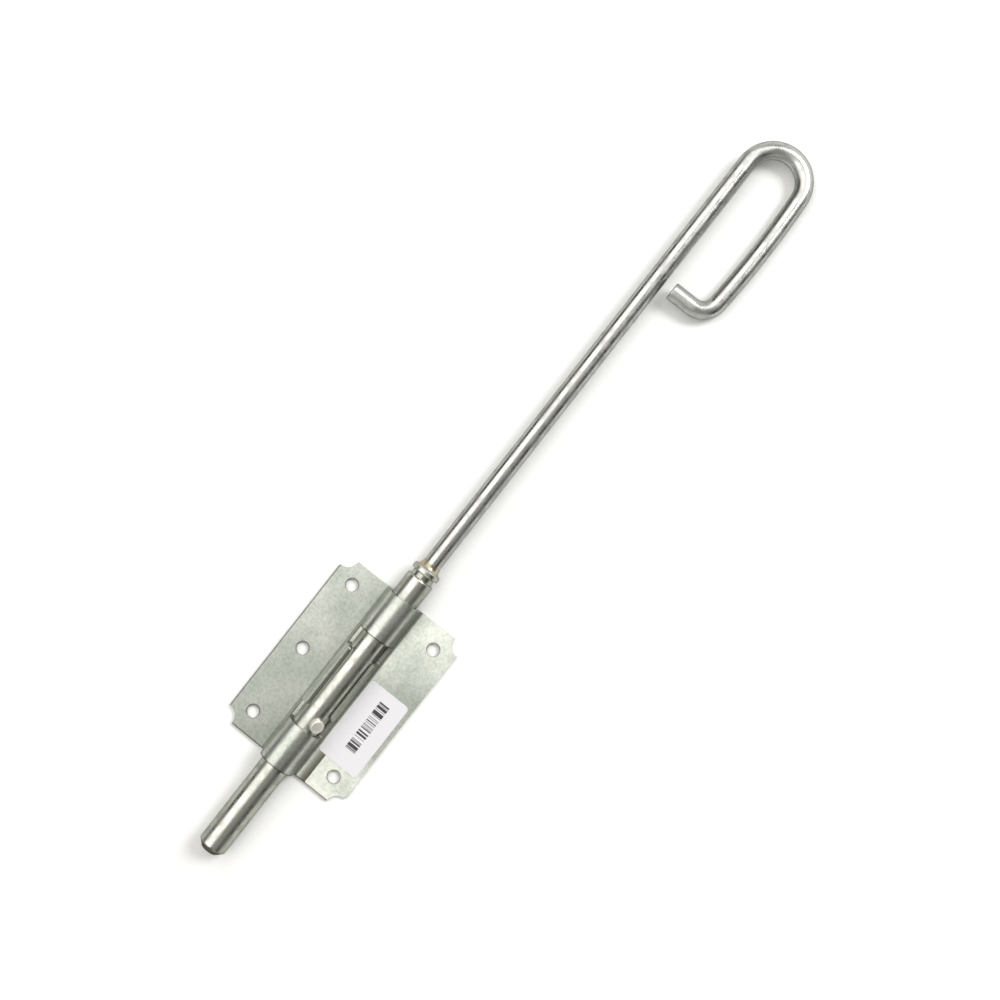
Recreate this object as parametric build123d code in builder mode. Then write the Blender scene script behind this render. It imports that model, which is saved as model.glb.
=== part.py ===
from build123d import *
import math
import os

# Long-handled twist-lock bolt: a pressed plate, a round bolt with a stud, and a bent rod handle.
# Millimetres. The origin is the centre of the plate on its mounting face, +Z points out of the door,
# +Y runs along the bolt towards the handle, and the handle loop lies on the +X side.

# Plate
plate_length = 110.0
plate_width = 80.0
sheet = 2.0
screw_hole_d = 7.0
screw_edge_x = 12.0
screw_edge_y = 12.0
scallop_r = 7.0

# Channel pressed into the plate, with the I-shaped slot that leaves two loops and two lugs
running_clearance = 0.25
bolt_lift = 0.5
channel_bend_r = 1.5
lug_length = 38.0
pocket_length = 11.5
pocket_sill = 4.0
left_lug_angle = 40.0
lug_corner_r = 2.2
pocket_corner_r = 1.2
pick_tolerance = 0.1

# Bolt
bolt_d = 16.0
bolt_length = 184.8
tip_reach = 57.6
tip_chamfer = 3.3
shoulder_chamfer = 0.5
neck_d = 12.8
neck_length = 3.0

# Stud
stud_d = 7.5
stud_height = 2.4
stud_depth = 5.5
stud_angle = 38.0
stud_seat_clearance = 0.03
stud_lug_clearance = 0.35
stud_edge_round = 0.5

# Handle rod
rod_d = 10.0
shank_length = 279.4
loop_bend_r = 17.0
leg_length = 70.7
leg_bow = 3.7
hook_bend_r = 10.0
hook_length = 13.7
rod_end_round = 0.8

# Collar with the weld that runs up the rod
collar_d = 16.2
collar_length = 3.3
collar_chamfer = 0.6
collar_clearance = 0.05
weld_leg = 3.4
weld_height = 1.6
weld_edge = 0.3

# Places worked out from the sizes
axis_z = bolt_d / 2 + bolt_lift
channel_inner_r = bolt_d / 2 + running_clearance
channel_outer_r = channel_inner_r + sheet
bend_top = sheet + channel_bend_r
channel_foot = channel_outer_r + channel_bend_r
lug_end = lug_length / 2
loop_start = lug_end + pocket_length
pocket_centre = lug_end + pocket_length / 2
stud_r = stud_d / 2
right_lug_angle = stud_angle + math.degrees(math.asin((stud_r + stud_lug_clearance) / channel_inner_r))
bolt_front = -(plate_length / 2 + tip_reach)
bolt_back = bolt_front + bolt_length
leg_r = leg_length / (2 * math.radians(leg_bow))
bow_cos = math.cos(math.radians(leg_bow))
loop_span = loop_bend_r * (1 + bow_cos) + leg_r * (1 - bow_cos)
handle_drop = math.degrees(math.asin((axis_z - rod_d / 2) / loop_span))

# Planes that the pieces are drawn on
channel_plane = Plane.XZ
stud_out = Vector(math.sin(math.radians(stud_angle)), 0, math.cos(math.radians(stud_angle)))
stud_base = Vector(0, -pocket_centre, axis_z) + stud_out * (bolt_d / 2 - stud_depth)
stud_plane = Plane(origin=stud_base, x_dir=(0, 1, 0), z_dir=stud_out)
bolt_axis = Axis((0, 0, axis_z), (0, 1, 0))
turning_plane = Plane(origin=(0, 0, axis_z), x_dir=(1, 0, 0), z_dir=(0, 0, 1))
back_plane = Plane(origin=(0, bolt_back, axis_z), x_dir=(1, 0, 0), z_dir=(0, 1, 0))
handle_side = (math.cos(math.radians(handle_drop)), 0, -math.sin(math.radians(handle_drop)))
handle_up = (math.sin(math.radians(handle_drop)), 0, math.cos(math.radians(handle_drop)))
handle_plane = Plane(origin=(0, bolt_back, axis_z), x_dir=handle_side, z_dir=handle_up)


def radial_point(angle, radius):
    # A point of the channel's section, with the angle measured from straight up towards +X.
    turn = math.radians(angle)
    return (radius * math.sin(turn), axis_z + radius * math.cos(turn))


# Mounting plate: the section of wing, bend, leg and crown, drawn on one side and mirrored
with BuildPart() as mounting_plate:
    with BuildSketch(channel_plane):
        with BuildLine():
            CenterArc((0, axis_z), channel_outer_r, 0, 90)
            Line((channel_outer_r, axis_z), (channel_outer_r, bend_top))
            CenterArc((channel_foot, bend_top), channel_bend_r, 180, 90)
            Polyline(
                (channel_foot, sheet),
                (plate_width / 2, sheet),
                (plate_width / 2, 0),
                (channel_foot, 0),
            )
            CenterArc((channel_foot, bend_top), channel_bend_r + sheet, 180, 90)
            Line((channel_inner_r, bend_top), (channel_inner_r, axis_z))
            CenterArc((0, axis_z), channel_inner_r, 0, 90)
            Line((0, axis_z + channel_inner_r), (0, axis_z + channel_outer_r))
        make_face()
        mirror(about=Plane.YZ)
    extrude(amount=plate_length / 2, both=True)

    # Screw holes in two rows of three, and a scallop at each corner
    with BuildSketch(Plane.XY):
        with GridLocations(plate_width - 2 * screw_edge_x, plate_length / 2 - screw_edge_y, 2, 3):
            Circle(screw_hole_d / 2)
        with GridLocations(plate_width, plate_length, 2, 2):
            Circle(scallop_r)
    extrude(amount=sheet, mode=Mode.SUBTRACT)

    # Slot between the lugs, cut on radial lines of the channel
    reach = 2 * channel_outer_r
    with BuildSketch(channel_plane):
        with BuildLine():
            Polyline(
                (0, axis_z),
                radial_point(-left_lug_angle, reach),
                (0, axis_z + reach),
                radial_point(right_lug_angle, reach),
                close=True,
            )
        make_face()
    extrude(amount=lug_end + pocket_length / 2, both=True, mode=Mode.SUBTRACT)

    # Pockets at both ends of the slot, open down to the bends of the channel
    with BuildSketch(Plane.XY.offset(pocket_sill)):
        with GridLocations(0, 2 * pocket_centre, 1, 2):
            Rectangle(2 * channel_foot, pocket_length)
    extrude(amount=axis_z + channel_outer_r, mode=Mode.SUBTRACT)

    # Round the free corners of the lugs and the corners at the bottom of the pockets
    straight = mounting_plate.edges().filter_by(GeomType.LINE)
    lug_corners = straight.filter_by(
        lambda e: abs(abs(e.center().Y) - lug_end) < pick_tolerance and e.center().Z > axis_z
    )
    fillet(lug_corners, lug_corner_r)
    across = mounting_plate.edges().filter_by(Axis.X)
    pocket_corners = across.filter_by(
        lambda e: abs(e.center().Z - pocket_sill) < pick_tolerance
        and abs(e.center().Y) < loop_start + pick_tolerance
    )
    fillet(pocket_corners, pocket_corner_r)
mounting_plate.part.label = "mounting_plate"

# Bolt: a turned bar with a chamfered tip, a neck at the back and a blind hole for the stud
with BuildPart() as bolt:
    bolt_r = bolt_d / 2
    shoulder = bolt_back - neck_length
    with BuildSketch(turning_plane):
        with BuildLine():
            Polyline(
                (0, bolt_front),
                (bolt_r - tip_chamfer, bolt_front),
                (bolt_r, bolt_front + tip_chamfer),
                (bolt_r, shoulder - shoulder_chamfer),
                (bolt_r - shoulder_chamfer, shoulder),
                (neck_d / 2, shoulder),
                (neck_d / 2, bolt_back),
                (0, bolt_back),
                close=True,
            )
        make_face()
    revolve(axis=bolt_axis)
    with BuildSketch(stud_plane):
        Circle(stud_r + stud_seat_clearance)
    extrude(amount=bolt_d, mode=Mode.SUBTRACT)
bolt.part.label = "bolt"

# Stud: a short pin that stands on the bottom of its hole
with BuildPart() as locking_stud:
    with BuildSketch(stud_plane):
        Circle(stud_r)
    extrude(amount=stud_depth + stud_height)
    fillet(locking_stud.faces().sort_by(Axis(stud_base, stud_out))[-1].edges(), stud_edge_round)
locking_stud.part.label = "locking_stud"

# Handle: one rod, straight from the bolt, round the loop, back along a slightly bowed leg and into a
# hook that is square to the rod
with BuildPart() as handle_rod:
    with BuildLine(handle_plane):
        shank = Line((0, 0), (0, shank_length))
        crown = JernArc(shank @ 1, shank % 1, loop_bend_r, -(180 - leg_bow))
        leg = JernArc(crown @ 1, crown % 1, leg_r, -2 * leg_bow)
        hook = JernArc(leg @ 1, leg % 1, hook_bend_r, -(90 - leg_bow))
        hook_tip = PolarLine(hook @ 1, hook_length, direction=hook % 1)
    with BuildSketch(back_plane):
        Circle(rod_d / 2)
    sweep()
    fillet(handle_rod.faces().sort_by_distance(hook_tip @ 1)[0].edges(), rod_end_round)
handle_rod.part.label = "handle_rod"

# Weld collar: a disc on the rod behind the bolt's neck, with the hollow weld that joins it to the rod
with BuildPart() as weld_collar:
    collar_front = bolt_back + collar_clearance
    collar_back = collar_front + collar_length
    bore_r = rod_d / 2 + collar_clearance
    collar_r = collar_d / 2
    weld_r = bore_r + weld_edge + weld_height
    weld_top = collar_back + weld_leg
    with BuildSketch(turning_plane):
        with BuildLine():
            Polyline(
                (bore_r, weld_top),
                (bore_r, collar_front),
                (collar_r - collar_chamfer, collar_front),
                (collar_r, collar_front + collar_chamfer),
                (collar_r, collar_back - collar_chamfer),
                (collar_r - collar_chamfer, collar_back),
                (weld_r, collar_back),
            )
            EllipticalCenterArc((weld_r, weld_top), weld_height, weld_leg, 180, arc_size=90)
            Line((bore_r + weld_edge, weld_top), (bore_r, weld_top))
        make_face()
    revolve(axis=bolt_axis)
weld_collar.part.label = "weld_collar"

# Write one file for each piece
os.makedirs("parts", exist_ok=True)
for piece in (mounting_plate, bolt, locking_stud, handle_rod, weld_collar):
    export_step(piece.part, f"parts/{piece.part.label}.step")
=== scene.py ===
import bpy
import math
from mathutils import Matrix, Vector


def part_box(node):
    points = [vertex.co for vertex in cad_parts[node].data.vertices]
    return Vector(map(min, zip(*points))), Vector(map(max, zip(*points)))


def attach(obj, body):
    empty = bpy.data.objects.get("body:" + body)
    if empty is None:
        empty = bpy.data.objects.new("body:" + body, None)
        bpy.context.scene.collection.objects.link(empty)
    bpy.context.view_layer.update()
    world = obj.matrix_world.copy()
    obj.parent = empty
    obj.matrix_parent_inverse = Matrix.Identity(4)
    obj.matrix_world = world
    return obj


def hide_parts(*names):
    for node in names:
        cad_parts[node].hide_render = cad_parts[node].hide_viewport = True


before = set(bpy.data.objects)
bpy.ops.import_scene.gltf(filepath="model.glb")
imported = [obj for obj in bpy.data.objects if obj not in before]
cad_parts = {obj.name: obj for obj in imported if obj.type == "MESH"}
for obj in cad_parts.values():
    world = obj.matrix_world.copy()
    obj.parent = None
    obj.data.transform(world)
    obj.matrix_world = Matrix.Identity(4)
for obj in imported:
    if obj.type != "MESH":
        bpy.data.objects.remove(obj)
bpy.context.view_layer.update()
print("frame loaded:", sorted(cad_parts))

scene = bpy.context.scene
scene.view_settings.view_transform = "Standard"
white = (1.0, 1.0, 1.0)


def radiansOf(degrees):
    return [math.radians(d) for d in degrees]


# camera over the part, a little to the handle's loop side, looking down
viewFrom = {
    "place": (0.0722, 0.1203, 0.7141),
    "turnDeg": (3.758, 3.742, 38.20),
    "lens": 48.0,
    "sensor": 36.0,
    "clipStart": 0.01,
}
bpy.ops.object.select_all(action="DESELECT")
bpy.ops.object.camera_add(location=viewFrom["place"], rotation=radiansOf(viewFrom["turnDeg"]))
camera = bpy.context.object
camera.name = "photoCamera"
camera.data.sensor_width = viewFrom["sensor"]
camera.data.lens = viewFrom["lens"]
camera.data.clip_start = viewFrom["clipStart"]
scene.camera = camera
print("camera placed")


# node helpers
def newMaterial(name):
    material = bpy.data.materials.new(name)
    material.use_nodes = True
    tree = material.node_tree
    return material, tree, tree.nodes["Principled BSDF"]


def addNode(tree, kind, **settings):
    node = tree.nodes.new(kind)
    for key, value in settings.items():
        setattr(node, key, value)
    return node


def feed(tree, socket, value):
    # a number, a colour or another node's output
    if isinstance(value, (int, float)):
        socket.default_value = value
    elif isinstance(value, tuple):
        socket.default_value = (*value, 1.0)
    else:
        tree.links.new(value, socket)


def objectCoords(tree, scale=(1, 1, 1), place=(0, 0, 0), turnDeg=(0, 0, 0)):
    coords = addNode(tree, "ShaderNodeTexCoord")
    mapping = addNode(tree, "ShaderNodeMapping")
    mapping.inputs["Scale"].default_value = scale
    mapping.inputs["Location"].default_value = place
    mapping.inputs["Rotation"].default_value = radiansOf(turnDeg)
    tree.links.new(coords.outputs["Object"], mapping.inputs["Vector"])
    return mapping.outputs["Vector"]


def noiseAt(tree, vector, scale, detail, rough):
    noise = addNode(tree, "ShaderNodeTexNoise")
    noise.inputs["Scale"].default_value = scale
    noise.inputs["Detail"].default_value = detail
    noise.inputs["Roughness"].default_value = rough
    tree.links.new(vector, noise.inputs["Vector"])
    return noise.outputs["Fac"]


def rampOf(tree, value, places, colours):
    ramp = addNode(tree, "ShaderNodeValToRGB")
    elements = ramp.color_ramp.elements
    while len(elements) < len(places):
        elements.new(0.5)
    for element, place, colour in zip(elements, places, colours):
        element.position = place
        element.color = (*colour, 1.0)
    tree.links.new(value, ramp.inputs["Fac"])
    return ramp.outputs["Color"]


def mixColours(tree, factor, first, second, blend="MIX"):
    mix = addNode(tree, "ShaderNodeMix", data_type="RGBA", blend_type=blend)
    # sockets 0, 6 and 7 are the factor and the two colours, and output 2 is the mixed colour
    for index, value in ((0, factor), (6, first), (7, second)):
        feed(tree, mix.inputs[index], value)
    return mix.outputs[2]


def tintBy(tree, colour, share, tint):
    return mixColours(tree, 1.0, colour, mixColours(tree, share, white, tint), "MULTIPLY")


def rangeOf(tree, value, low, high, toLow, toHigh):
    node = addNode(tree, "ShaderNodeMapRange")
    node.inputs["From Min"].default_value = low
    node.inputs["From Max"].default_value = high
    node.inputs["To Min"].default_value = toLow
    node.inputs["To Max"].default_value = toHigh
    tree.links.new(value, node.inputs["Value"])
    return node.outputs["Result"]


def fadeOut(tree, value, full, end):
    return rangeOf(tree, value, full, end, 1.0, 0.0)


def edgeBand(tree, value, start, width):
    return fadeOut(tree, value, start + 0.5 * width, start + width)


def bumpOf(tree, height, strength, distance, under=None):
    bump = addNode(tree, "ShaderNodeBump")
    bump.inputs["Strength"].default_value = strength
    bump.inputs["Distance"].default_value = distance
    tree.links.new(height, bump.inputs["Height"])
    if under is not None:
        tree.links.new(under, bump.inputs["Normal"])
    return bump.outputs["Normal"]


def mathOf(tree, operation, first, *others):
    # folds the operation over all values; with one value it works on that alone
    for other in others or (0.0,):
        node = addNode(tree, "ShaderNodeMath", operation=operation)
        feed(tree, node.inputs[0], first)
        feed(tree, node.inputs[1], other)
        first = node.outputs[0]
    return first


def times(tree, *values):
    return mathOf(tree, "MULTIPLY", *values)


def plus(tree, *values):
    return mathOf(tree, "ADD", *values)


def lengthOf(tree, first, second):
    return mathOf(tree, "SQRT", plus(tree, times(tree, first, first), times(tree, second, second)))


def splitXyz(tree, vector):
    node = addNode(tree, "ShaderNodeSeparateXYZ")
    tree.links.new(vector, node.inputs["Vector"])
    return node.outputs


# zinc on the pressed sheet: cloudy, finely speckled, with wings that the press left a hair off flat
# noises are (scale, detail, roughness), bumps (strength, distance), stops and bands (from, to)
sheetFinish = {
    "dull": (0.465, 0.515, 0.465),
    "bright": (0.675, 0.69, 0.645),
    "clouds": (48.0, 4.0, 0.55),
    "broad": (17.0, 3.0, 0.5),
    "mottleStops": (0.36, 0.62),
    "specks": (620.0, 3.0, 0.65),
    "speck": (0.80, 0.80, 0.79),
    "speckStops": (0.32, 0.60),
    "strokes": (1.0, 3.0, 0.6),
    "strokeScale": (420.0, 140.0, 300.0),
    "strokeTurnDeg": (0, 0, 40.0),
    "smudges": (38.0, 6.0, 0.7),
    "smudgeScale": (1.0, 0.6, 1.0),
    "smudgePlace": (0.3, 0.1, 0),
    "smudgeTurnDeg": (0, 0, -20),
    "smudge": (0.62, 0.62, 0.60),
    "smudgeStops": (0.27, 0.36),
    "roughStops": (0.3, 0.7),
    "roughLow": 0.28,
    "roughHigh": 0.40,
    "footX": 0.0118,
    "footInside": 0.0002,
    "footOutside": 0.0003,
    "footShare": 0.95,
    "footWidth": 0.0012,
    "footTop": 0.0045,
    # colour of the painted shade on the channel's flanks and left foot
    "flankShade": (0.56, 0.555, 0.52),
    "flankRough": 0.58,
    "flankBand": (0.0120, 0.0180),
    "leftLugShare": 0.45,
    "holeX": 0.028,
    "holeStep": 0.043,
    "holeR": 0.0035,
    "holeRim": 0.0006,
    "rimFull": 0.3,
    "rimShift": 0.00035,
    # colour of the painted shadow round the screw holes
    "rim": (0.34, 0.34, 0.32),
    "valleyX": 0.0175,
    "valleySlope": 0.22,
    "valleyBand": (-0.030, 0.022),
    # colour of the painted shadow beside the channel
    "valleyShadow": (0.50, 0.44, 0.37),
    "rightSlope": 0.07,
    "middleSlope": -0.85,
    "middleLow": (-0.040, -0.022),
    "middleHigh": (0.012, 0.050),
    "leftSlope": 0.112,
    "wingTwist": 0.45,
    # colour of the painted shadow lines along the edges
    "edgeShadow": (0.16, 0.15, 0.13),
    "edgeShadowWidth": 0.0008,
    "plateStart": -0.055,
    "plateLeft": -0.040,
    "plateLeftWidth": 0.0007,
    "loopStart": 0.0305,
    "loopMargin": 0.0002,
    "loopFoot": 0.003,
    "leanBump": (1.0, 1.0),
    "waveBump": (0.40, 0.0010),
    "strokeBump": (0.08, 0.0001),
    "speckBump": (0.16, 0.00008),
}


def makeZincSheet():
    f = sheetFinish
    material, tree, shader = newMaterial("zincSheet")
    shader.inputs["Metallic"].default_value = 1.0
    vector = objectCoords(tree)
    x, y, z = splitXyz(tree, vector)
    acrossX = mathOf(tree, "ABSOLUTE", x)
    clouds = noiseAt(tree, vector, *f["clouds"])
    specks = noiseAt(tree, vector, *f["specks"])
    broad = noiseAt(tree, vector, *f["broad"])
    strokesAt = objectCoords(tree, f["strokeScale"], turnDeg=f["strokeTurnDeg"])
    strokes = noiseAt(tree, strokesAt, *f["strokes"])
    smudgesAt = objectCoords(tree, f["smudgeScale"], f["smudgePlace"], f["smudgeTurnDeg"])
    smudges = noiseAt(tree, smudgesAt, *f["smudges"])
    mottle = plus(tree, times(tree, clouds, 0.5), times(tree, broad, 0.5))
    colour = rampOf(tree, mottle, f["mottleStops"], (f["dull"], f["bright"]))
    speckled = rampOf(tree, specks, f["speckStops"], (f["speck"], white))
    smudged = rampOf(tree, smudges, f["smudgeStops"], (f["smudge"], white))
    colour = mixColours(tree, 1.0, colour, speckled, "MULTIPLY")
    colour = mixColours(tree, 1.0, colour, smudged, "MULTIPLY")

    # painted shade on the channel's flanks, from the wings up to the crown, less on the left lug; these
    # flanks are rougher as well
    footEdge = f["footX"] - f["footInside"]
    onChannel = fadeOut(tree, acrossX, footEdge, f["footX"] + f["footOutside"])
    underCrown = fadeOut(tree, z, *f["flankBand"])
    betweenLoops = mathOf(tree, "LESS_THAN", mathOf(tree, "ABSOLUTE", y), f["loopStart"])
    leftLug = times(tree, mathOf(tree, "LESS_THAN", x, 0.0), betweenLoops)
    lugShare = rangeOf(tree, leftLug, 0.0, 1.0, 1.0, f["leftLugShare"])
    flanks = times(tree, onChannel, underCrown, lugShare)
    # painted shade along the bend at the left foot too, which is rougher as well
    fromFoot = mathOf(tree, "ABSOLUTE", plus(tree, x, footEdge))
    foot = rangeOf(tree, fromFoot, 0.5 * f["footWidth"], f["footWidth"], f["footShare"], 0.0)
    leftFoot = times(tree, foot, mathOf(tree, "LESS_THAN", z, f["footTop"]))
    paintedFlankShade = mathOf(tree, "MAXIMUM", flanks, leftFoot)
    colour = tintBy(tree, colour, paintedFlankShade, f["flankShade"])

    # painted shadow round the screw holes, shifted so it is wider on the +Y side
    holeX = mathOf(tree, "SUBTRACT", acrossX, f["holeX"])
    alongY = mathOf(tree, "ABSOLUTE", mathOf(tree, "SUBTRACT", y, f["rimShift"]))
    holeY = mathOf(tree, "PINGPONG", alongY, 0.5 * f["holeStep"])
    rimFrom = f["holeR"] + f["rimFull"] * f["holeRim"]
    paintedRimShadow = fadeOut(tree, lengthOf(tree, holeX, holeY), rimFrom, f["holeR"] + f["holeRim"])
    colour = tintBy(tree, colour, paintedRimShadow, f["rim"])

    # beside the channel the right wing dips into a valley line that fades out along the plate, with a
    # brownish painted shadow over it
    dip = rangeOf(tree, x, f["footX"], f["valleyX"], 0.0, 1.0)
    fade = fadeOut(tree, y, *f["valleyBand"])
    paintedValleyShadow = times(tree, dip, mathOf(tree, "LESS_THAN", x, f["valleyX"]), fade)
    colour = tintBy(tree, colour, paintedValleyShadow, f["valleyShadow"])

    # painted shadow lines along the plate's front and left sides and at the front of the far loop
    atFront = edgeBand(tree, y, f["plateStart"], f["edgeShadowWidth"])
    atLeft = edgeBand(tree, x, f["plateLeft"], f["plateLeftWidth"])
    atLoop = times(
        tree,
        edgeBand(tree, y, f["loopStart"], f["edgeShadowWidth"]),
        mathOf(tree, "GREATER_THAN", y, f["loopStart"] - f["loopMargin"]),
        mathOf(tree, "GREATER_THAN", z, f["loopFoot"]),
    )
    # edges: where the painted shadow lines go
    edges = mathOf(tree, "MAXIMUM", atFront, atLeft, atLoop)
    tree.links.new(mixColours(tree, edges, colour, f["edgeShadow"]), shader.inputs["Base Color"])

    rough = rangeOf(tree, clouds, *f["roughStops"], f["roughHigh"], f["roughLow"])
    flankRough = times(tree, paintedFlankShade, f["flankRough"])
    tree.links.new(mathOf(tree, "MAXIMUM", rough, flankRough), shader.inputs["Roughness"])

    # both wings rise a hair outwards, but the right one falls along its middle
    right = mathOf(tree, "MAXIMUM", mathOf(tree, "SUBTRACT", x, f["valleyX"]), 0.0)
    left = mathOf(tree, "MAXIMUM", mathOf(tree, "SUBTRACT", times(tree, x, -1.0), f["footX"]), 0.0)
    ends = mathOf(
        tree,
        "MAXIMUM",
        rangeOf(tree, y, *f["middleHigh"], f["middleSlope"], 1.0),
        rangeOf(tree, y, *f["middleLow"], 1.0, f["middleSlope"]),
    )
    outer = plus(tree, times(tree, right, ends, f["rightSlope"]), times(tree, left, f["leftSlope"]))
    twist = times(tree, x, y, f["wingTwist"])
    valleyDepth = -0.5 * (f["valleyX"] - f["footX"]) * f["valleySlope"]
    valley = times(tree, dip, dip, valleyDepth, fade)
    warp = plus(tree, valley, plus(tree, outer, twist))
    lean = bumpOf(tree, warp, *f["leanBump"])
    wavy = bumpOf(tree, mottle, *f["waveBump"], lean)
    brushed = bumpOf(tree, strokes, *f["strokeBump"], wavy)
    tree.links.new(bumpOf(tree, specks, *f["speckBump"], brushed), shader.inputs["Normal"])
    return material


# zinc on round bar: drawn lines along the length and small dull spots, in every bar finish
barGrain = {
    "drawn": (1.0, 3.0, 0.55),
    "drawnScale": (900, 25, 900),
    "blotch": (170.0, 2.5, 0.5),
    "blotchStops": (0.34, 0.58),
    "roughStops": (0.35, 0.65),
    "edgeTint": (0.5, 0.5, 0.49),
    "drawnBump": (0.05, 0.00008),
    "blotchBump": (0.07, 0.0002),
}


def makeZincBar(name, finish):
    g = barGrain
    material, tree, shader = newMaterial(name)
    shader.inputs["Metallic"].default_value = 1.0
    drawn = noiseAt(tree, objectCoords(tree, g["drawnScale"]), *g["drawn"])
    blotch = noiseAt(tree, objectCoords(tree), *g["blotch"])
    colour = rampOf(tree, blotch, g["blotchStops"], (finish["spotColour"], finish["colour"]))
    if "flankShade" in finish:
        # painted shade down both sides of the bar, lighter along its top and bottom
        tilt = math.radians(finish["dropDeg"])
        x, y, z = splitXyz(tree, objectCoords(tree))
        aboveAxis = mathOf(tree, "SUBTRACT", z, finish["axisZ"])
        lift = plus(tree, times(tree, aboveAxis, math.cos(tilt)), times(tree, x, math.sin(tilt)))
        sides = fadeOut(tree, mathOf(tree, "ABSOLUTE", lift), *finish["flankBand"])
        colour = tintBy(tree, colour, sides, finish["flankShade"])
    feed(tree, shader.inputs["Specular Tint"], g["edgeTint"])
    tree.links.new(colour, shader.inputs["Base Color"])
    rough = rangeOf(tree, blotch, *g["roughStops"], finish["roughHigh"], finish["roughLow"])
    tree.links.new(rough, shader.inputs["Roughness"])
    lines = bumpOf(tree, drawn, *g["drawnBump"])
    tree.links.new(bumpOf(tree, blotch, *g["blotchBump"], lines), shader.inputs["Normal"])
    return material


def stainAndShadeBar(material, stainAndShade):
    # a band of colour over the bar's zinc, from one place along it to another, with an uneven edge: the
    # weld's yellowish bloom, and painted shade on the tip
    tree = material.node_tree
    baseColour = tree.nodes["Principled BSDF"].inputs["Base Color"]
    zinc = baseColour.links[0].from_socket
    vector = objectCoords(tree)
    uneven = times(tree, noiseAt(tree, vector, *stainAndShade["noise"]), stainAndShade["spread"])
    along = plus(tree, splitXyz(tree, vector)[1], mathOf(tree, "SUBTRACT", uneven, 0.5 * stainAndShade["spread"]))
    stained = rangeOf(tree, along, *stainAndShade["band"], 0.0, stainAndShade["share"])
    tree.links.new(mixColours(tree, stained, zinc, stainAndShade["colour"]), baseColour)
    return material


# bolt of bright zinc, with painted shade in dark brown over its tip's chamfer
barFinish = {
    "colour": (0.70, 0.70, 0.655),
    "spotColour": (0.53, 0.54, 0.49),
    "roughLow": 0.23,
    "roughHigh": 0.36,
    # painted shade down the bolt's sides
    "flankShade": (0.60, 0.615, 0.575),
    "flankBand": (0.0056, 0.0074),
    "axisZ": 0.0085,
    "dropDeg": 0.0,
}
# painted shade on the tip's chamfer, dark brownish
tipShade = {
    "colour": (0.085, 0.075, 0.055),
    "band": (-0.1086, -0.1097),
    "noise": (420.0, 3.0, 0.55),
    "spread": 0.0012,
    "share": 0.97,
}

# rod of the same zinc, in the handle's plane, which drops towards the loop
handleDropDeg = 5.7185
rodFinish = {
    "colour": (0.70, 0.70, 0.68),
    "spotColour": (0.54, 0.54, 0.53),
    "roughLow": 0.22,
    "roughHigh": 0.36,
    # painted shade down the rod's sides
    "flankShade": (0.60, 0.615, 0.585),
    "flankBand": (0.0035, 0.0046),
    "axisZ": 0.0085,
    "dropDeg": handleDropDeg,
}

# collar as the bolt, with a yellowish bloom where the weld runs up the rod
weldFinish = {
    **barFinish,
    "colour": (0.72, 0.72, 0.67),
    "spotColour": (0.54, 0.54, 0.49),
    "roughLow": 0.26,
    "roughHigh": 0.42,
}
weldBloom = {
    "colour": (0.51, 0.44, 0.30),
    "band": (0.0751, 0.0772),
    "noise": (330.0, 3.0, 0.55),
    "spread": 0.0016,
    "share": 0.85,
}

# stud of paler, duller zinc
studFinish = {
    "colour": (0.90, 0.88, 0.81),
    "spotColour": (0.76, 0.75, 0.68),
    "roughLow": 0.45,
    "roughHigh": 0.60,
}

materials = {
    "mounting_plate": makeZincSheet(),
    "bolt": stainAndShadeBar(makeZincBar("zincBar", barFinish), tipShade),
    "locking_stud": makeZincBar("zincStud", studFinish),
    "handle_rod": makeZincBar("zincRod", rodFinish),
    "weld_collar": stainAndShadeBar(makeZincBar("zincWeld", weldFinish), weldBloom),
}
for nodeName, material in materials.items():
    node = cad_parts[nodeName]
    node.data.materials.clear()
    node.data.materials.append(material)
print("finishes given to", len(materials), "nodes")

# modelling helpers
meshing = {
    "mergeFirst": 0.000001,
    "merge": 0.000002,
    "smoothDeg": 50,
    "normalWeight": 100,
}
upright = (math.radians(90), 0, 0)


def pickOnly(thing):
    bpy.ops.object.select_all(action="DESELECT")
    thing.select_set(True)
    bpy.context.view_layer.objects.active = thing


def mergeDoubles(threshold):
    bpy.ops.mesh.select_all(action="SELECT")
    bpy.ops.mesh.remove_doubles(threshold=threshold)


def startPiece(name):
    # names the object that was just added and fixes its place in its mesh
    piece = bpy.context.object
    piece.name = name
    bpy.ops.object.transform_apply(location=True, rotation=True, scale=True)
    return piece


def extrudeBy(move):
    bpy.ops.mesh.extrude_region_move(TRANSFORM_OT_translate={"value": move})


def softenEdges(piece, width, steps, sharpDeg):
    soften = piece.modifiers.new("soften", "BEVEL")
    soften.width = width
    soften.segments = steps
    soften.limit_method = "ANGLE"
    soften.angle_limit = math.radians(sharpDeg)
    bpy.ops.object.modifier_apply(modifier=soften.name)


def smoothFaces(piece):
    bpy.ops.object.shade_smooth_by_angle(angle=math.radians(meshing["smoothDeg"]))
    evenNormals = piece.modifiers.new("evenNormals", "WEIGHTED_NORMAL")
    evenNormals.weight = meshing["normalWeight"]
    evenNormals.keep_sharp = True
    bpy.ops.object.modifier_apply(modifier=evenNormals.name)


def finishPiece(piece, body, node, soft):
    # the piece comes in edit mode; soft is the bevel's width, steps and angle
    mergeDoubles(meshing["mergeFirst"])
    bpy.ops.mesh.normals_make_consistent(inside=False)
    bpy.ops.object.mode_set(mode="OBJECT")
    pickOnly(piece)
    softenEdges(piece, *soft)
    # merge rings that the bevel left on one another
    bpy.ops.object.mode_set(mode="EDIT")
    mergeDoubles(meshing["merge"])
    bpy.ops.object.mode_set(mode="OBJECT")
    smoothFaces(piece)
    piece.data.materials.clear()
    piece.data.materials.append(materials[node])
    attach(piece, body)
    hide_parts(node)
    print(piece.name, "modelled:", len(piece.data.polygons), "faces")


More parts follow.
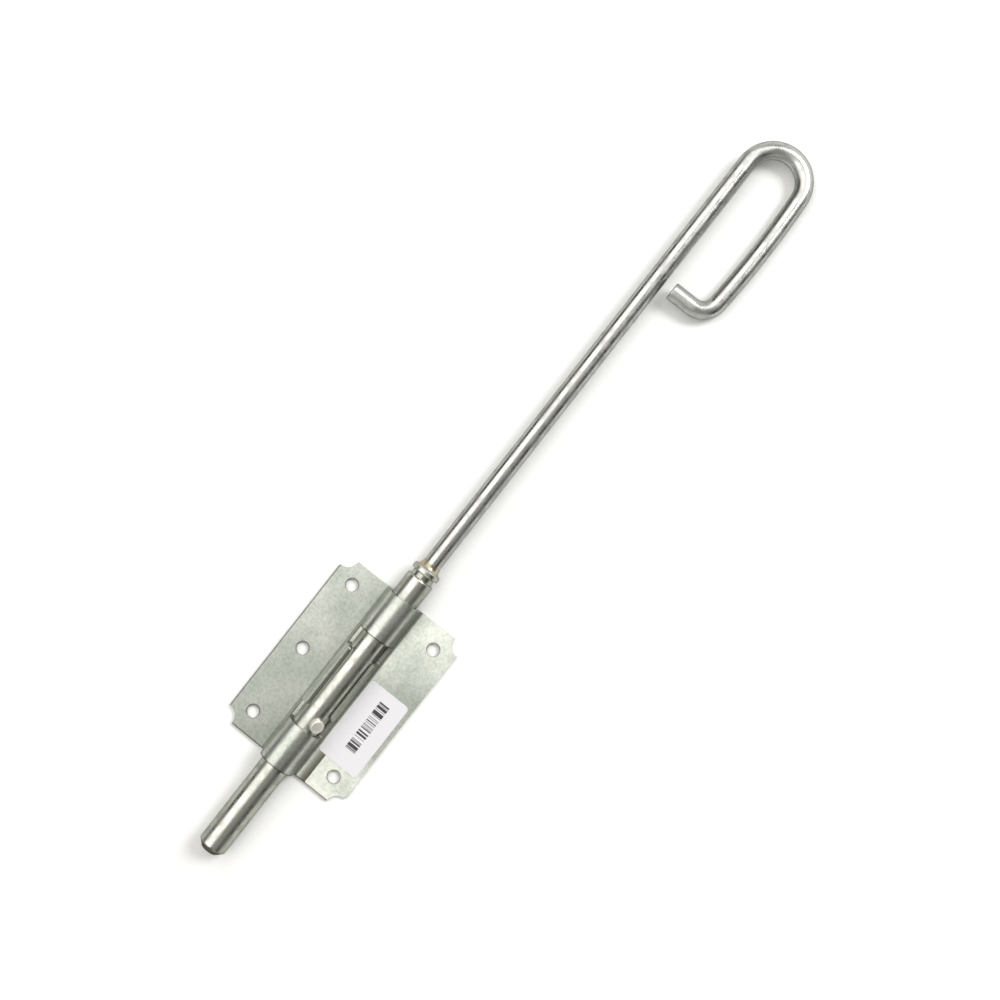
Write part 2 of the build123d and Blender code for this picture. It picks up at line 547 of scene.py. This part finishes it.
# plate with its punched edges broken, over the CAD node
plateEdges = {
    "flatDeg": 0.6,
    "soft": (0.00050, 3, 32.0),
}
pickOnly(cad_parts["mounting_plate"])
bpy.ops.object.duplicate()
pressedPlate = bpy.context.object
pressedPlate.name = "pressedPlate"
bpy.ops.object.mode_set(mode="EDIT")
mergeDoubles(meshing["merge"])
bpy.ops.mesh.dissolve_limited(angle_limit=math.radians(plateEdges["flatDeg"]))
bpy.ops.object.mode_set(mode="OBJECT")
softenEdges(pressedPlate, *plateEdges["soft"])
smoothFaces(pressedPlate)
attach(pressedPlate, "plate")
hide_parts("mounting_plate")
print("plate edges broken:", len(pressedPlate.data.polygons), "faces")

# bolt turned from bar: chamfered tip, shoulder and neck
boltLow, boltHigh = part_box("bolt")
axisZ = (boltLow[2] + boltHigh[2]) / 2
turnedBolt = {
    "radius": (boltHigh[0] - boltLow[0]) / 2,
    "front": boltLow[1],
    "back": boltHigh[1],
    "tipChamfer": 0.0033,
    "shoulderChamfer": 0.0005,
    "neckRadius": 0.0064,
    "neckLength": 0.003,
    "sides": 96,
    "soft": (0.0006, 4, 20),
}
t = turnedBolt
shoulder = t["back"] - t["neckLength"]
atY, atRadius = t["front"], t["radius"] - t["tipChamfer"]
bpy.ops.object.select_all(action="DESELECT")
bpy.ops.mesh.primitive_circle_add(
    vertices=t["sides"], radius=atRadius, fill_type="NGON", location=(0, atY, axisZ), rotation=upright)
boltPiece = startPiece("turnedBolt")
bpy.ops.object.mode_set(mode="EDIT")
bpy.ops.mesh.select_all(action="SELECT")
for toY, toRadius in (
    (t["front"] + t["tipChamfer"], t["radius"]),
    (shoulder - t["shoulderChamfer"], t["radius"]),
    (shoulder, t["radius"] - t["shoulderChamfer"]),
    (shoulder, t["neckRadius"]),
    (t["back"], t["neckRadius"]),
):
    extrudeBy((0, toY - atY, 0))
    grow = toRadius / atRadius
    bpy.ops.transform.resize(value=(grow, 1, grow), center_override=(0, toY, axisZ))
    atY, atRadius = toY, toRadius
finishPiece(boltPiece, "bolt", "bolt", t["soft"])

# stud: a button with a rounded rim and a faint dome
stud = {
    "angleDeg": 38.0,
    "radius": 0.00375,
    "inside": 0.0048,
    "top": 0.0104,
    "alongY": -0.02475,
    "dome": 0.00012,
    "domeShares": (0.30, 0.22, 0.16),
    "facesUp": 0.99,
    "sides": 64,
    "soft": (0.0006, 3, 40),
}
t = stud
lean = math.radians(t["angleDeg"])
outX, outZ = math.sin(lean), math.cos(lean)
half = (t["inside"] + t["top"]) / 2
bpy.ops.object.select_all(action="DESELECT")
bpy.ops.mesh.primitive_cylinder_add(
    vertices=t["sides"], radius=t["radius"], depth=t["top"] - t["inside"],
    location=(half * outX, t["alongY"], axisZ + half * outZ), rotation=(0, lean, 0))
studPiece = startPiece("lockingButton")
# pick the top face alone
studMesh = studPiece.data
for item in (*studMesh.vertices, *studMesh.edges):
    item.select = False
for face in studMesh.polygons:
    face.select = face.normal.x * outX + face.normal.z * outZ > t["facesUp"]
    if face.select:
        for index in face.vertices:
            studMesh.vertices[index].select = True
bpy.ops.object.mode_set(mode="EDIT")
bpy.ops.mesh.select_mode(type="FACE")
for share in t["domeShares"]:
    bpy.ops.mesh.inset(thickness=t["radius"] * share, depth=t["dome"])
finishPiece(studPiece, "bolt", "locking_stud", t["soft"])

# handle: one rod, extruded along the shank and spun round the bends
handle = {
    "radius": 0.005,
    "shank": 0.2794,
    "loopBend": 0.017,
    "loopSteps": 48,
    "legLength": 0.0707,
    "legBowDeg": 3.7,
    "legSteps": 8,
    "hookBend": 0.010,
    "hookSteps": 26,
    "hookLength": 0.0137,
    "sides": 48,
    "soft": (0.0008, 4, 40),
}
t = handle
drop = math.radians(handleDropDeg)
side = (math.cos(drop), 0.0, -math.sin(drop))
up = (math.sin(drop), 0.0, math.cos(drop))


def onHandle(across, along):
    return (across * side[0], turnedBolt["back"] + along, axisZ + across * side[2])


bpy.ops.object.select_all(action="DESELECT")
bpy.ops.mesh.primitive_circle_add(
    vertices=t["sides"], radius=t["radius"], fill_type="NGON", location=onHandle(0, 0), rotation=upright)
rodPiece = startPiece("bentHandle")
bpy.ops.object.mode_set(mode="EDIT")
bpy.ops.mesh.select_all(action="SELECT")
extrudeBy((0, t["shank"], 0))
across, along, heading = 0.0, t["shank"], 0.0
bow = math.radians(t["legBowDeg"])
for bend, turn, steps in (
    (t["loopBend"], math.pi - bow, t["loopSteps"]),
    (t["legLength"] / (2 * bow), 2 * bow, t["legSteps"]),
    (t["hookBend"], math.pi / 2 - bow, t["hookSteps"]),
):
    pivotAcross = across + bend * math.cos(heading)
    pivotAlong = along - bend * math.sin(heading)
    bpy.ops.mesh.spin(steps=steps, angle=turn, center=onHandle(pivotAcross, pivotAlong), axis=up)
    heading += turn
    across = pivotAcross - bend * math.cos(heading)
    along = pivotAlong + bend * math.sin(heading)
hookAcross = t["hookLength"] * math.sin(heading)
extrudeBy((hookAcross * side[0], t["hookLength"] * math.cos(heading), hookAcross * side[2]))
finishPiece(rodPiece, "bolt", "handle_rod", t["soft"])

# paper sticker on the right wing, with plain bars
sticker = {
    "low": (0.0121, -0.0362),
    "high": (0.0375, 0.0108),
    "base": 0.00202,
    "thick": 0.00012,
    "cornerRound": 0.0022,
    "cornerSteps": 6,
    "paper": (0.78, 0.77, 0.80),
    "paperShade": 0.96,
    "paperStops": (0.3, 0.7),
    "paperRough": 0.42,
    "fibres": (900.0, 4.0, 0.6),
    "fibreBump": (0.1, 0.00004),
    "ink": (0.035, 0.035, 0.04),
    "barLow": (0.0228, -0.0262),
    "barHigh": (0.0292, 0.0042),
    "barCount": 95.0,
    "barGaps": 0.47,
}
centre = [(a + b) / 2 for a, b in zip(sticker["low"], sticker["high"])]
span = [b - a for a, b in zip(sticker["low"], sticker["high"])]
bpy.ops.object.select_all(action="DESELECT")
bpy.ops.mesh.primitive_plane_add(size=1.0, location=(*centre, sticker["base"]))
bpy.context.object.scale = (*span, 1.0)
label = startPiece("paperSticker")
bpy.ops.object.mode_set(mode="EDIT")
bpy.ops.mesh.select_all(action="SELECT")
bpy.ops.mesh.bevel(offset=sticker["cornerRound"], segments=sticker["cornerSteps"], affect="VERTICES")
bpy.ops.mesh.select_all(action="SELECT")
extrudeBy((0, 0, sticker["thick"]))
bpy.ops.mesh.select_all(action="SELECT")
bpy.ops.mesh.normals_make_consistent(inside=False)
bpy.ops.object.mode_set(mode="OBJECT")


def makeStickerPaper():
    f = sticker
    material, tree, shader = newMaterial("stickerPaper")
    shader.inputs["Roughness"].default_value = f["paperRough"]
    vector = objectCoords(tree)
    x, y, z = splitXyz(tree, vector)
    # bars of uneven width, inside a block
    along = rangeOf(tree, y, f["barLow"][1], f["barHigh"][1], 0.0, f["barCount"])
    cells = addNode(tree, "ShaderNodeTexWhiteNoise", noise_dimensions="1D")
    tree.links.new(mathOf(tree, "FLOOR", along), cells.inputs["W"])
    ink = mathOf(tree, "GREATER_THAN", cells.outputs["Value"], f["barGaps"])
    for place, low, high in zip((x, y), f["barLow"], f["barHigh"]):
        inside = times(tree, mathOf(tree, "GREATER_THAN", place, low), mathOf(tree, "LESS_THAN", place, high))
        ink = times(tree, ink, inside)
    fibres = noiseAt(tree, vector, *f["fibres"])
    shade = tuple(f["paperShade"] * c for c in f["paper"])
    paper = rampOf(tree, fibres, f["paperStops"], (shade, f["paper"]))
    tree.links.new(mixColours(tree, ink, paper, f["ink"]), shader.inputs["Base Color"])
    tree.links.new(bumpOf(tree, fibres, *f["fibreBump"]), shader.inputs["Normal"])
    return material


label.data.materials.append(makeStickerPaper())
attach(label, "plate")
print("sticker laid on the wing")

# floor, light and surroundings
studio = {
    "floorSize": 6.0,
    "floorPlace": (0, 0.13, 0),
    "floorColour": (0.95, 0.95, 0.95),
    "floorRough": 0.9,
    "paleBand": (0.4, 1.8),
    "paleGlow": 0.8,
    "keyPlace": (0.95, 1.90, 1.95),
    "keyAim": (0, 0.05, 0),
    "keySize": (1.05, 1.05),
    "keyPower": 47.0,
    "sidePlace": (-0.459, 0.10, 1.055),
    "sideAim": (0, 0.10, 0),
    "sideSize": (1.15, 2.0),
    "sidePower": 10.8,
    "sideColour": (1.0, 0.985, 0.95),
    "upperWall": (0.27, 0.27, 0.25),
    "sideWall": (0.06, 0.056, 0.05),
    "wallStops": (0.10, 0.15, 0.84, 0.89),
    "endWall": (0.55, 0.55, 0.53),
    "endBand": (0.35, 0.60),
    "endTop": (0.50, 0.65),
    "endFade": (0.10, 0.45),
    "horizon": (0.09, 0.15),
}
bpy.ops.object.select_all(action="DESELECT")
bpy.ops.mesh.primitive_plane_add(size=studio["floorSize"], location=studio["floorPlace"])
floor = bpy.context.object
floor.name = "paleFloor"
floorMaterial, floorTree, floorShader = newMaterial("paleFloorPaint")
feed(floorTree, floorShader.inputs["Base Color"], studio["floorColour"])
floorShader.inputs["Roughness"].default_value = studio["floorRough"]
floorShader.inputs["Specular IOR Level"].default_value = 0.0
# far from the part the floor stays pale, where the lamps no longer reach
floorX, floorY, floorZ = splitXyz(floorTree, objectCoords(floorTree))
reach = lengthOf(floorTree, floorX, floorY)
rays = addNode(floorTree, "ShaderNodeLightPath").outputs
seen = mathOf(
    floorTree, "MAXIMUM", rays["Is Camera Ray"], rays["Is Glossy Ray"], rays["Is Transmission Ray"])
pale = rangeOf(floorTree, reach, *studio["paleBand"], 0.0, studio["paleGlow"])
feed(floorTree, floorShader.inputs["Emission Color"], white)
floorTree.links.new(times(floorTree, seen, pale), floorShader.inputs["Emission Strength"])
floor.data.materials.append(floorMaterial)


def addSoftLight(name, place, aim, size, power):
    bpy.ops.object.select_all(action="DESELECT")
    bpy.ops.object.light_add(type="AREA", location=place)
    light = bpy.context.object
    light.name = name
    light.data.energy = power
    light.data.shape = "RECTANGLE"
    light.data.size, light.data.size_y = size
    away = [p - a for p, a in zip(place, aim)]
    flat = math.hypot(away[0], away[1])
    light.rotation_euler = (0, math.atan2(flat, away[2]), math.atan2(away[1], away[0]))
    return light


addSoftLight("keyLight", studio["keyPlace"], studio["keyAim"], studio["keySize"], studio["keyPower"])
sideLight = addSoftLight(
    "sideLight", studio["sidePlace"], studio["sideAim"], studio["sideSize"], studio["sidePower"])
sideLight.data.color = studio["sideColour"]

# dark walls at the sides, paler ones at the ends and a white horizon
world = bpy.data.worlds.new("studioWorld")
world.use_nodes = True
scene.world = world
worldTree = world.node_tree
worldCoords = addNode(worldTree, "ShaderNodeTexCoord")
sideways, ahead, height = splitXyz(worldTree, worldCoords.outputs["Generated"])
wall = rampOf(worldTree, rangeOf(worldTree, sideways, -1.0, 1.0, 0.0, 1.0), studio["wallStops"], (
    studio["sideWall"],
    studio["upperWall"],
    studio["upperWall"],
    studio["sideWall"],
))
towardsEnds = rangeOf(worldTree, mathOf(worldTree, "ABSOLUTE", ahead), *studio["endBand"], 0.0, 1.0)
atEnds = times(worldTree, towardsEnds, fadeOut(worldTree, height, *studio["endTop"]))
endShade = mixColours(worldTree, fadeOut(worldTree, height, *studio["endFade"]), studio["endWall"], white)
wall = mixColours(worldTree, atEnds, wall, endShade)
wall = mixColours(worldTree, fadeOut(worldTree, height, *studio["horizon"]), wall, white)
worldTree.links.new(wall, worldTree.nodes["Background"].inputs["Color"])
print("studio ready")

print("done")
